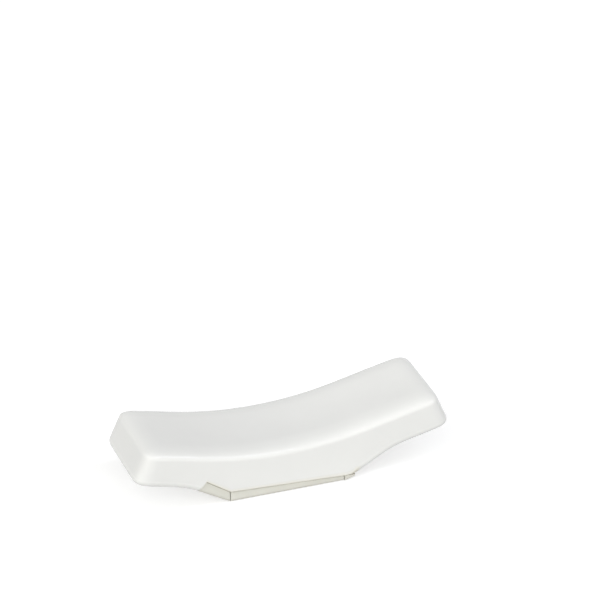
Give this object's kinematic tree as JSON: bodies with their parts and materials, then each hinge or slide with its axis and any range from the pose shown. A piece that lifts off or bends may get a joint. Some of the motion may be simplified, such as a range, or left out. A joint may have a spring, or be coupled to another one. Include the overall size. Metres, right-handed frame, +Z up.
{
  "type": "chopstick rest",
  "caption": "Bar-shaped porcelain chopstick rest, gently dished on top with raised ends, on a central foot with bonded non-slip strips.",
  "frame": {"origin": "on the table, under the middle of the bar", "axes": "+X along the bar towards the end with the short strip, +Y to the back, +Z up"},
  "size_m": [0.075, 0.0226, 0.0176],
  "materials": {
    "porcelain": "smooth white glaze, soft gloss",
    "strip": "matt cream, fine grain",
    "adhesive": "dull grey-brown film"
  },
  "bodies": {
    "root": {"rest_body": "porcelain", "base_strip": "strip", "slope_strip": "strip", "end_strip": "strip", "base_film": "adhesive", "slope_film": "adhesive", "end_film": "adhesive"}
  },
  "joints": []
}
